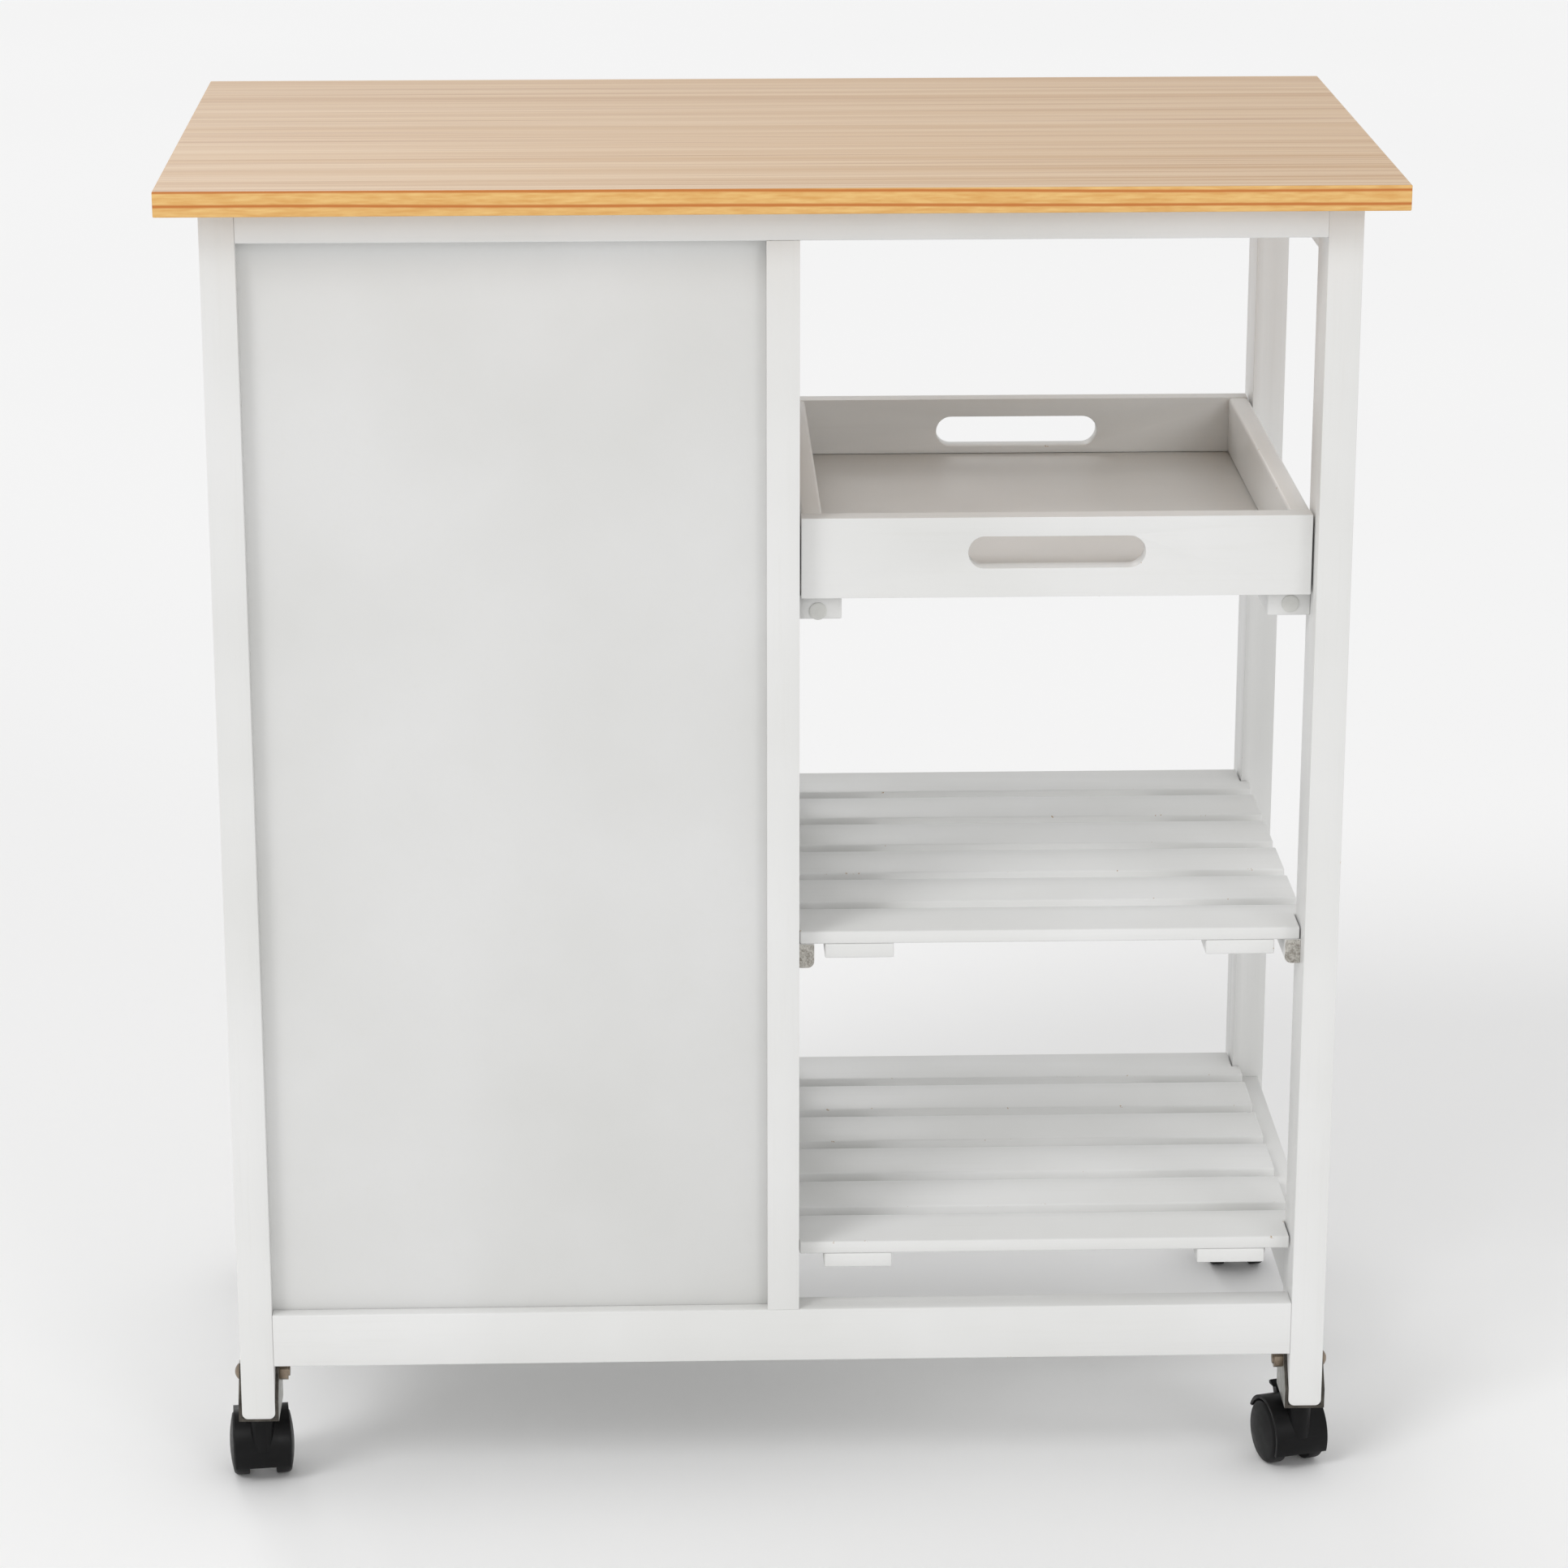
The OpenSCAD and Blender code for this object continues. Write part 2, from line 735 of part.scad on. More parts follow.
// Bolts through the legs, with a round head outside and a nut inside
module caster_bolts() color("silver")
  for (c = CASTERS) translate([c[1] * leg_x, c[2] * leg_y, caster_h + bolt_rise]) {
    arm_face = leg_w / 2 + bracket_t;
    rotate([0, 90 * c[1], 0]) rotate_extrude() union() {
      translate([0, -arm_face - nut_t - lap]) square([bolt_d / 2, 2 * arm_face + nut_t + 2 * lap]);
      translate([0, arm_face]) intersection() {
        square(2 * head_h);
        translate([0, head_h - dome_r]) circle(dome_r);
      }
    }
    rotate([0, -90 * c[1], 0]) translate([0, 0, arm_face]) difference() {
      cylinder(d = nut_d / cos(30), h = nut_t, $fn = 6);
      translate([0, 0, -lap]) cylinder(r = bolt_d / 2 + running_fit, h = nut_t + 2 * lap);
    }
  }

// Side outline of the hood: round over the wheels, open below and behind
module hood_outline(r)
  difference() {
    translate([-trail, wheel_r]) circle(r);
    translate([-trail, hood_bottom - 2 * r]) square([2 * r, 2 * r]);
    translate([-trail - 2 * r, wheel_r + r * sin(25) - 2 * r]) square([2 * r, 2 * r]);
  }

// Shape that the brake lever swings through
module lever_sweep()
  union() {
    translate(lever_pivot) circle(lever_hub_r + 0.4);
    polygon([
      lever_pivot + [lever_hub_r + 0.4, 0],
      lever_pivot + [lever_hub_r + 0.4, 2 * hood_r],
      lever_pivot + [-2 * hood_r, 2 * hood_r],
      lever_pivot + [-2 * hood_r, -lever_hub_r],
      lever_pivot + [0, -lever_hub_r]
    ]);
  }

// Moulded hood that turns on the stem and holds the axle
module caster_hood(c, with_lever) color("black")
  at_caster(c) difference() {
    union() {
      along_x(hood_w) difference() {
        hood_outline(hood_r);
        translate([-trail, wheel_r]) circle(hood_r - hood_wall);
      }
      along_x(hub_w) union() {
        hood_outline(hood_r);
        translate([-trail, wheel_r]) circle(wheel_r - 6);
      }
      translate([0, 0, boss_z]) cylinder(r = boss_r, h = boss_top - boss_z);
    }
    translate([0, 0, stem_bottom - 1]) cylinder(r = stem_r + running_fit, h = caster_h);
    translate([0, -trail, wheel_r])
      rotate([0, 90, 0]) cylinder(r = axle_r, h = 2 * hood_w, center = true);
    if (with_lever) {
      translate([lever_x, 0, 0]) along_x(lever_w + 0.8) lever_sweep();
      translate([lever_x, lever_pivot[0], lever_pivot[1]])
        rotate([0, 90, 0]) cylinder(r = lever_pin_r + running_fit, h = lever_w + 3, center = true);
    }
  }

module caster_axle(c) color("silver")
  at_caster(c) translate([0, -trail, wheel_r])
    rotate([0, 90, 0]) cylinder(r = axle_r, h = 2 * (wheel_in + wheel_w - 2), center = true);

// One of the two wheels, with a rounded outer edge and a blind bore
module caster_wheel(c, side) color("dimgray")
  at_caster(c) translate([side * wheel_in, -trail, wheel_r])
    rotate([0, 90 * side, 0]) difference() {
      rotate_extrude() union() {
        square([wheel_r - wheel_edge_r, wheel_w]);
        square([wheel_r, wheel_w - wheel_edge_r]);
        translate([wheel_r - wheel_edge_r, wheel_w - wheel_edge_r]) circle(wheel_edge_r);
      }
      translate([0, 0, -lap]) cylinder(r = axle_r + running_fit, h = wheel_w - 1.5 + lap);
    }

// Brake lever with its trunnions, standing up behind the hood, its tip turned out to one side
module caster_lever(c) color("black")
  at_caster(c) translate([lever_x, 0, 0]) union() {
    translate([(lever_tip[0] + lever_tip[1]) / 2 - lever_x, 0, 0])
      along_x(lever_tip[1] - lever_tip[0]) polygon([
        lever_pivot + [-2.6, 9.5],
        lever_pivot + [-7, 12.6],
        lever_pivot + [-9.5, 11],
        lever_pivot + [-8.6, 9.2]
      ]);
    along_x(lever_w) union() {
      translate(lever_pivot) circle(lever_hub_r);
      polygon([
        lever_pivot + [2.6, 2],
        lever_pivot + [-2.6, 9.5],
        lever_pivot + [-7, 12.6],
        lever_pivot + [-9.5, 11],
        lever_pivot + [-7, 6],
        lever_pivot + [-3, -1]
      ]);
    }
    translate([0, lever_pivot[0], lever_pivot[1]])
      rotate([0, 90, 0]) cylinder(r = lever_pin_r, h = lever_w + 2.6, center = true);
  }

worktop();
for (l = LEGS) leg(l[1], l[2]);
for (e = ENDS) centre_post(e[1]);
for (e = ENDS) long_rail(e[1], top_rail_z, top_rail_h);
for (e = ENDS) long_rail(e[1], bottom_rail_z, bottom_rail_h);
side_aprons();
side_rails();
drawer_rail();
divider_panel();
back_panel();
side_panel();
cupboard_floor();
tray_runners();
shelf_slats(middle_shelf_z);  // middle_shelf_slats
shelf_battens(middle_shelf_z);  // middle_shelf_battens
middle_shelf_cleats();
shelf_slats(bottom_shelf_z);  // bottom_shelf_slats
shelf_battens(bottom_shelf_z);  // bottom_shelf_battens
drawer_runners();
frame_hinge_leaves();
for (e = ENDS) tray_end(e[1]);
tray_sides();
tray_floor();
drawer_front();
drawer_sides();
drawer_back();
drawer_floor();
drawer_knob();
door_stiles();
door_rails();
door_panel();
door_knob();
door_hinge_leaves();
caster_brackets();
caster_bolts();
for (c = CASTERS) {
  caster_hood(c, c[2] > 0);
  caster_axle(c);
  caster_wheel(c, -1);
  caster_wheel(c, 1);
}
for (c = LEVER_CASTERS) caster_lever(c);
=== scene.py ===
import json
import math

import bpy
from mathutils import Euler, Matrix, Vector


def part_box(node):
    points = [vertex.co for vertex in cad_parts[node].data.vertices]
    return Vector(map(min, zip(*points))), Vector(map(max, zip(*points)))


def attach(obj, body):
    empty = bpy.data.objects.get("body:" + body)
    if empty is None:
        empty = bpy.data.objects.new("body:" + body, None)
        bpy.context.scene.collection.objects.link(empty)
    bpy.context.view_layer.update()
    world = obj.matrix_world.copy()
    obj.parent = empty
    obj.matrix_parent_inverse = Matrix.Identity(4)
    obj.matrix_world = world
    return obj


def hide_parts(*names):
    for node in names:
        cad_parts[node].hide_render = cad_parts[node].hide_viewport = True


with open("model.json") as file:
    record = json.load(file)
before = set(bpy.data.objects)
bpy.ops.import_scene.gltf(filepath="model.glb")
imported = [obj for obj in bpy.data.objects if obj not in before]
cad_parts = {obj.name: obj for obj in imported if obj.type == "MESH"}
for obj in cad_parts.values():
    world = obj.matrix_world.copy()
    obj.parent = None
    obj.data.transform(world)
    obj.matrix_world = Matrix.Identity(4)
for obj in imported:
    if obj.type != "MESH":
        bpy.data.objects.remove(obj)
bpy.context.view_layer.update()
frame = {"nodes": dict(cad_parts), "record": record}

# ---- Legs ----
# Four uprights of planed pine, sprayed white, with rounded feet that drop into the casters'
# brackets. Their corners are rubbed back with fine paper between the two coats.


def linear(hex_colour):
    """An sRGB hex colour as the linear red, green, blue and alpha that a shader takes."""
    channels = [int(hex_colour[i:i + 2], 16) / 255 for i in (0, 2, 4)]
    return [c / 12.92 if c <= 0.04045 else ((c + 0.055) / 1.055) ** 2.4 for c in channels] + [1.0]


def add_node(tree, kind, inputs=(), **settings):
    """Adds a shader node, sets it up, and fills or links its inputs."""
    made = tree.nodes.new(kind)
    for name, value in settings.items():
        setattr(made, name, value)
    for socket, value in dict(inputs).items():
        if isinstance(value, bpy.types.NodeSocket):
            tree.links.new(value, made.inputs[socket])
        else:
            made.inputs[socket].default_value = value
    return made


def new_finish(name):
    """A material with nothing in it yet, and the node tree to build it in."""
    finish = bpy.data.materials.new(name)
    finish.use_nodes = True
    finish.node_tree.nodes.clear()
    return finish, finish.node_tree


def sprayed_paint(name, fibre_mm, rubbed=0.0, coats=("eaeae9", "e3e3e1")):
    """Water-based white paint, sprayed on pine in two coats.

    The eye sees a satin white skin with a fine orange peel, the wood's fibres faintly raised
    beneath it, and on rubbed corners a few specks where the wood shows through.
    """
    paint, tree = new_finish(name)
    place = add_node(tree, "ShaderNodeTexCoord").outputs["Object"]
    # Real fibres are under 1 mm wide and don't show, so they are drawn two to three times as wide.
    along = add_node(tree, "ShaderNodeMapping", {
        "Vector": place, "Scale": [1000 / mm for mm in fibre_mm]}).outputs["Vector"]
    fibres = add_node(tree, "ShaderNodeTexNoise", {
        "Vector": along, "Scale": 1.0, "Detail": 4.0, "Roughness": 0.6}).outputs["Fac"]
    peel = add_node(tree, "ShaderNodeTexNoise", {
        "Vector": place, "Scale": 1000 / 2.2, "Detail": 1.0}).outputs["Fac"]
    cloud = add_node(tree, "ShaderNodeTexNoise", {
        "Vector": place, "Scale": 1000 / 140, "Detail": 3.0}).outputs["Fac"]
    thin = add_node(tree, "ShaderNodeMapRange", {
        "Value": cloud, "From Min": 0.35, "From Max": 0.68}).outputs["Result"]
    coat = add_node(tree, "ShaderNodeMix", {
        0: thin, 6: linear(coats[0]), 7: linear(coats[1])}, data_type="RGBA").outputs[2]
    streak = add_node(tree, "ShaderNodeMapRange", {
        "Value": fibres, "From Min": 0.54, "From Max": 0.8, "To Max": 0.22}).outputs["Result"]
    streaked = add_node(tree, "ShaderNodeMix", {
        0: streak, 6: coat, 7: linear("dddcd8")}, data_type="RGBA").outputs[2]
    speck = add_node(tree, "ShaderNodeTexNoise", {
        "Vector": place, "Scale": 1000 / 7, "Detail": 4.0, "Roughness": 0.7}).outputs["Fac"]
    bare = add_node(tree, "ShaderNodeMapRange", {
        "Value": speck, "From Min": 0.9 - rubbed, "From Max": 0.93 - rubbed}).outputs["Result"]
    colour = add_node(tree, "ShaderNodeMix", {
        0: bare, 6: streaked, 7: linear("b3946a")}, data_type="RGBA").outputs[2]
    dull = add_node(tree, "ShaderNodeMapRange", {
        "Value": cloud, "To Min": 0.34, "To Max": 0.46}).outputs["Result"]
    raised = add_node(tree, "ShaderNodeBump", {
        "Height": fibres, "Strength": 0.4, "Distance": 0.0001}).outputs["Normal"]
    skin = add_node(tree, "ShaderNodeBump", {
        "Height": peel, "Strength": 0.35, "Distance": 0.00006, "Normal": raised}).outputs["Normal"]
    shader = add_node(tree, "ShaderNodeBsdfPrincipled", {
        "Base Color": colour, "Roughness": dull, "IOR": 1.5, "Normal": skin})
    add_node(tree, "ShaderNodeOutputMaterial", {"Surface": shader.outputs["BSDF"]})
    return paint


body_of_node = {
    node: body
    for body, nodes in frame["record"]["behaviour"]["bodies"].items() for node in nodes
}


def eased(node, corner_mm, finishes, smooth_deg=30, flat_deg=0.6):
    """A copy of a CAD piece with its corners rounded over; the corners take the last finish."""
    bpy.ops.object.select_all(action="DESELECT")
    piece = bpy.data.objects.new(f"{node}_made", frame["nodes"][node].data.copy())
    bpy.context.scene.collection.objects.link(piece)
    bpy.context.view_layer.objects.active = piece
    piece.select_set(True)
    piece.data.materials.clear()
    for finish in finishes:
        piece.data.materials.append(finish)
    bpy.ops.object.mode_set(mode="EDIT")
    bpy.ops.mesh.select_all(action="SELECT")
    bpy.ops.mesh.remove_doubles(threshold=1e-6)
    bpy.ops.mesh.dissolve_limited(angle_limit=math.radians(flat_deg))
    bpy.ops.mesh.select_all(action="DESELECT")
    bpy.ops.mesh.select_mode(type="EDGE")
    bpy.ops.mesh.edges_select_sharp(sharpness=math.radians(smooth_deg + 5))
    bpy.ops.mesh.bevel(
        offset=corner_mm / 1000, segments=2, affect="EDGES", clamp_overlap=True,
        material=len(finishes) - 1)
    bpy.ops.object.mode_set(mode="OBJECT")
    bpy.ops.object.shade_smooth_by_angle(angle=math.radians(smooth_deg))
    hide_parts(node)
    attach(piece, body_of_node[node])
    return piece


paint_upright = sprayed_paint("sprayed_paint_upright_grain", (2.6, 2.6, 90))
rubbed_upright = sprayed_paint("rubbed_corner_upright_grain", (2.6, 2.6, 90), rubbed=0.2)

for corner in ("front_left", "front_right", "rear_left", "rear_right"):
    eased(f"leg_{corner}", 0.9, [paint_upright, rubbed_upright])

# ---- Centre posts, rails and aprons ----
# The rest of the frame is the same pine, tenoned into the legs, so each joint shows as a
# hairline between two eased corners.
for end in ("front", "rear"):
    eased(f"centre_post_{end}", 0.8, [paint_upright, rubbed_upright])

paint_wide = sprayed_paint("sprayed_paint_sideways_grain", (90, 2.6, 2.6))
rubbed_wide = sprayed_paint("rubbed_corner_sideways_grain", (90, 2.6, 2.6), rubbed=0.2)
for rail in ("top_rail_front", "top_rail_rear", "bottom_rail_front", "bottom_rail_rear",
             "drawer_rail"):
    eased(rail, 0.8, [paint_wide, rubbed_wide])

paint_deep = sprayed_paint("sprayed_paint_depthwise_grain", (2.6, 90, 2.6))
rubbed_deep = sprayed_paint("rubbed_corner_depthwise_grain", (2.6, 90, 2.6), rubbed=0.2)
for rail in ("side_aprons", "side_rails"):
    eased(rail, 0.8, [paint_deep, rubbed_deep])

# ---- Panels ----
# Thin fibreboard, painted before it is slid into the frame's slots; flatter and smoother than
# the pine, with no fibres under the paint.
paint_board = sprayed_paint("sprayed_paint_fibreboard", (5, 5, 5), coats=("e2e2e1", "dbdbd9"))
for panel in ("back_panel", "side_panel", "divider_panel", "cupboard_floor"):
    eased(panel, 0.25, [paint_board])

# ---- Shelves ----
# Planed slats nailed across two battens, with eased edges all round. The middle shelf sits on
# two cleats, whose ends are left as the saw cut them.


def sawn_end(name):
    """Pine cut across by a fine saw: grey-brown fibre ends, with specks of dust and paint."""
    end, tree = new_finish(name)
    place = add_node(tree, "ShaderNodeTexCoord").outputs["Object"]
    fibre_ends = add_node(tree, "ShaderNodeTexVoronoi", {
        "Vector": place, "Scale": 1000 / 0.9}).outputs["Distance"]
    dust = add_node(tree, "ShaderNodeTexNoise", {
        "Vector": place, "Scale": 1000 / 2.5, "Detail": 5.0, "Roughness": 0.75}).outputs["Fac"]
    dark = add_node(tree, "ShaderNodeMapRange", {
        "Value": dust, "From Min": 0.44, "From Max": 0.6}).outputs["Result"]
    tone = add_node(tree, "ShaderNodeMix", {
        0: dark, 6: linear("c9c6bf"), 7: linear("97928a")}, data_type="RGBA").outputs[2]
    pores = add_node(tree, "ShaderNodeMapRange", {
        "Value": fibre_ends, "From Min": 0.1, "From Max": 0.5, "To Min": 0.4,
        "To Max": 0.0}).outputs["Result"]
    colour = add_node(tree, "ShaderNodeMix", {
        0: pores, 6: tone, 7: linear("7b766e")}, data_type="RGBA").outputs[2]
    rough = add_node(tree, "ShaderNodeBump", {
        "Height": dust, "Strength": 0.8, "Distance": 0.0003}).outputs["Normal"]
    shader = add_node(tree, "ShaderNodeBsdfPrincipled", {
        "Base Color": colour, "Roughness": 0.85, "IOR": 1.45, "Normal": rough})
    add_node(tree, "ShaderNodeOutputMaterial", {"Surface": shader.outputs["BSDF"]})
    return end


# Thin edges take the most knocks, so more bare specks show along the slats' than elsewhere.
chipped_wide = sprayed_paint("chipped_slat_edge", (90, 2.6, 2.6), rubbed=0.235)
for shelf in ("middle_shelf", "bottom_shelf"):
    eased(f"{shelf}_slats", 1.0, [paint_wide, chipped_wide])
    eased(f"{shelf}_battens", 0.8, [paint_deep, rubbed_deep])
cleats = eased("middle_shelf_cleats", 0.5, [paint_deep, sawn_end("sawn_pine_end"), rubbed_deep])
for face in cleats.data.polygons:
    if abs(face.normal.y) > 0.9:
        face.material_index = 1

# ---- Tray and its runners ----
# Four walls round a thin floor, lifted by the hand slots. It stands on two bars screwed to the
# legs and posts; a blank disc covers the end of each bar at the back.
# Hands wear the tray's rim, so its corners show a few more specks than the frame's.
rubbed_tray = sprayed_paint("rubbed_tray_rim", (90, 2.6, 2.6), rubbed=0.23)
for end in ("front", "rear"):
    eased(f"tray_end_{end}", 1.9, [paint_wide, rubbed_tray])
eased("tray_sides", 1.8, [paint_deep, rubbed_tray])
eased("tray_floor", 0.2, [paint_board])
eased("tray_runners", 0.8, [paint_deep, rubbed_deep])


def moulded(name, colour, roughness, grain_mm, grain_depth_mm, gloss=0.5):
    """Thermoplastic from a spark-eroded mould: even colour and a fine, dull grain."""
    plastic, tree = new_finish(name)
    place = add_node(tree, "ShaderNodeTexCoord").outputs["Object"]
    grain = add_node(tree, "ShaderNodeTexNoise", {
        "Vector": place, "Scale": 1000 / grain_mm, "Detail": 2.0}).outputs["Fac"]
    scuff = add_node(tree, "ShaderNodeTexNoise", {
        "Vector": place, "Scale": 1000 / 9, "Detail": 5.0, "Roughness": 0.7}).outputs["Fac"]
    dull = add_node(tree, "ShaderNodeMapRange", {
        "Value": scuff, "From Min": 0.3, "From Max": 0.7, "To Min": roughness - 0.07,
        "To Max": roughness + 0.12}).outputs["Result"]
    worn = add_node(tree, "ShaderNodeMapRange", {
        "Value": scuff, "From Min": 0.5, "From Max": 0.75, "To Max": 0.5}).outputs["Result"]
    tone = add_node(tree, "ShaderNodeMix", {
        0: worn, 6: linear(colour[0]), 7: linear(colour[1])}, data_type="RGBA").outputs[2]
    bump = add_node(tree, "ShaderNodeBump", {
        "Height": grain, "Strength": 0.6, "Distance": grain_depth_mm / 1000}).outputs["Normal"]
    shader = add_node(tree, "ShaderNodeBsdfPrincipled", {
        "Base Color": tone, "Roughness": dull, "IOR": 1.5, "Specular IOR Level": gloss,
        "Normal": bump})
    add_node(tree, "ShaderNodeOutputMaterial", {"Surface": shader.outputs["BSDF"]})
    return plastic


def only(piece):
    """Makes a piece the one selected and the active one, ready for edit mode."""
    bpy.ops.object.select_all(action="DESELECT")
    bpy.context.view_layer.objects.active = piece
    piece.select_set(True)


def pick_faces(piece, wanted):
    """Selects only the wanted faces of a piece and leaves it in edit mode."""
    only(piece)
    bpy.ops.object.mode_set(mode="EDIT")
    bpy.ops.mesh.select_mode(type="FACE")
    bpy.ops.mesh.select_all(action="DESELECT")
    bpy.ops.object.mode_set(mode="OBJECT")
    for face in piece.data.polygons:
        face.select = wanted(face)
    bpy.ops.object.mode_set(mode="EDIT")


# Polythene, moulded: an off-white, waxy disc, a little greyer than the paint round it.
cover_plastic = moulded("moulded_cover_disc", ("d6d6d2", "c6c6c1"), 0.5, 0.8, 0.02)
runner_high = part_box("tray_runners")[1]
COVER_R = 0.0049
COVER_T = 0.0008
# The disc is pressed in a little: the middle of its thickness is this far out of the bar's end.
COVER_OUT = 0.0002
# Where their middles are, across and up: pressed on by hand, so not quite level.
COVER_CENTRES = ((-0.0199, 0.5248), (-0.2828, 0.5270))
for i, (x, z) in enumerate(COVER_CENTRES):
    bpy.ops.object.select_all(action="DESELECT")
    bpy.ops.mesh.primitive_cylinder_add(
        vertices=48, radius=COVER_R, depth=COVER_T, location=(x, runner_high.y + COVER_OUT, z),
        rotation=(math.radians(-90), 0, 0))
    disc = bpy.context.object
    disc.name = f"runner_cover_disc_{i + 1}"
    bpy.ops.object.transform_apply(location=True, rotation=True, scale=True)
    disc.data.materials.append(cover_plastic)
    pick_faces(disc, lambda face: face.normal.y > 0.9)
    bpy.ops.mesh.inset(thickness=0.0004, depth=0.0002)
    bpy.ops.mesh.inset(thickness=0.0009, depth=-0.0001)
    bpy.ops.object.mode_set(mode="OBJECT")
    bpy.ops.object.shade_smooth_by_angle(angle=math.radians(40))
    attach(disc, "cart")

# ---- Drawer ----
# A painted front on a plain pine box with a fibreboard floor, running on two pine strips. The
# box and the strips are planed and left bare, and turn straw-coloured.


def planed_pine(name, fibre_mm, light, dark, line):
    """Pine planed along the grain: broad pale bands, and thin darker lines of late wood."""
    pine, tree = new_finish(name)
    place = add_node(tree, "ShaderNodeTexCoord").outputs["Object"]
    broad = add_node(tree, "ShaderNodeMapping", {
        "Vector": place, "Scale": [1000 / mm / 9 for mm in fibre_mm]}).outputs["Vector"]
    bands = add_node(tree, "ShaderNodeTexNoise", {
        "Vector": broad, "Scale": 1.0, "Detail": 3.0, "Distortion": 0.2}).outputs["Fac"]
    fine = add_node(tree, "ShaderNodeMapping", {
        "Vector": place, "Scale": [1000 / mm for mm in fibre_mm]}).outputs["Vector"]
    rings = add_node(tree, "ShaderNodeTexNoise", {
        "Vector": fine, "Scale": 1.0, "Detail": 4.0, "Roughness": 0.55}).outputs["Fac"]
    tone = add_node(tree, "ShaderNodeMapRange", {
        "Value": bands, "From Min": 0.36, "From Max": 0.66}).outputs["Result"]
    wood = add_node(tree, "ShaderNodeMix", {
        0: tone, 6: linear(light), 7: linear(dark)}, data_type="RGBA").outputs[2]
    late = add_node(tree, "ShaderNodeMapRange", {
        "Value": rings, "From Min": 0.5, "From Max": 0.7, "To Max": 0.85}).outputs["Result"]
    colour = add_node(tree, "ShaderNodeMix", {
        0: late, 6: wood, 7: linear(line)}, data_type="RGBA").outputs[2]
    dull = add_node(tree, "ShaderNodeMapRange", {
        "Value": rings, "To Min": 0.62, "To Max": 0.46}).outputs["Result"]
    ridges = add_node(tree, "ShaderNodeBump", {
        "Height": rings, "Strength": 0.5, "Distance": 0.00015}).outputs["Normal"]
    shader = add_node(tree, "ShaderNodeBsdfPrincipled", {
        "Base Color": colour, "Roughness": dull, "IOR": 1.45, "Normal": ridges})
    add_node(tree, "ShaderNodeOutputMaterial", {"Surface": shader.outputs["BSDF"]})
    return pine


bare_deep = planed_pine("planed_pine_bare_depthwise", (3, 140, 3), "e2c9a0", "d2b384", "bd9562")
bare_wide = planed_pine("planed_pine_bare_sideways", (140, 3, 3), "e2c9a0", "d2b384", "bd9562")
eased("drawer_front", 1.6, [paint_wide, rubbed_wide])
eased("drawer_sides", 0.8, [bare_deep])
eased("drawer_back", 0.8, [bare_wide])
eased("drawer_floor", 0.2, [paint_board])
eased("drawer_runners", 0.6, [bare_deep])

# ---- Door ----
# A painted pine frame round a thin panel, hung on two butt hinges. Their leaves are pressed
# steel, zinc plated, and turn on loose-fitting pins.


def zinc_plate(name, colour, roughness):
    """Pressed steel with a bright zinc plate: light grey, softly clouded, fine roller lines."""
    zinc, tree = new_finish(name)
    place = add_node(tree, "ShaderNodeTexCoord").outputs["Object"]
    rolled = add_node(tree, "ShaderNodeMapping", {
        "Vector": place, "Scale": (1000 / 0.7, 1000 / 0.7, 1000 / 14)}).outputs["Vector"]
    lines = add_node(tree, "ShaderNodeTexNoise", {
        "Vector": rolled, "Scale": 1.0, "Detail": 2.0}).outputs["Fac"]
    cloud = add_node(tree, "ShaderNodeTexNoise", {
        "Vector": place, "Scale": 1000 / 6, "Detail": 4.0, "Roughness": 0.6}).outputs["Fac"]
    shade = add_node(tree, "ShaderNodeMapRange", {
        "Value": cloud, "From Min": 0.35, "From Max": 0.7}).outputs["Result"]
    tone = add_node(tree, "ShaderNodeMix", {
        0: shade, 6: linear(colour[0]), 7: linear(colour[1])}, data_type="RGBA").outputs[2]
    dull = add_node(tree, "ShaderNodeMapRange", {
        "Value": cloud, "To Min": roughness - 0.1, "To Max": roughness + 0.12}).outputs["Result"]
    bump = add_node(tree, "ShaderNodeBump", {
        "Height": lines, "Strength": 0.3, "Distance": 0.00003}).outputs["Normal"]
    shader = add_node(tree, "ShaderNodeBsdfPrincipled", {
        "Base Color": tone, "Metallic": 1.0, "Roughness": dull, "Normal": bump})
    add_node(tree, "ShaderNodeOutputMaterial", {"Surface": shader.outputs["BSDF"]})
    return zinc


eased("door_stiles", 1.4, [paint_upright, rubbed_upright])
eased("door_rails", 1.4, [paint_wide, rubbed_wide])
eased("door_panel", 0.2, [paint_board])
# Bright zinc on stamped leaves: cool grey, with soft highlights on the knuckles.
hinge_zinc = zinc_plate("zinc_plated_hinge", ("b9b9b4", "a3a39e"), 0.32)
eased("frame_hinge_leaves", 0.15, [hinge_zinc])
eased("door_hinge_leaves", 0.15, [hinge_zinc])

# ---- Knobs ----
# Two alike, one on the drawer and one on the door, turned from steel bar.
# Brushed while spinning: bright, with soft highlights and fine lines.
knob_steel = zinc_plate("brushed_turned_steel", ("c2c1bd", "b0afab"), 0.26)
eased("drawer_knob", 0.3, [knob_steel])
eased("door_knob", 0.3, [knob_steel])

# ---- Worktop ----
# One wide board of pine glued from staves, sanded and thinly lacquered. Its face shows straight
# fine grain; along the edge the same rings run as two or three amber lines.

# The scale at which a wave texture's bands stand 1 mm apart.
MM_BANDS = 314.16


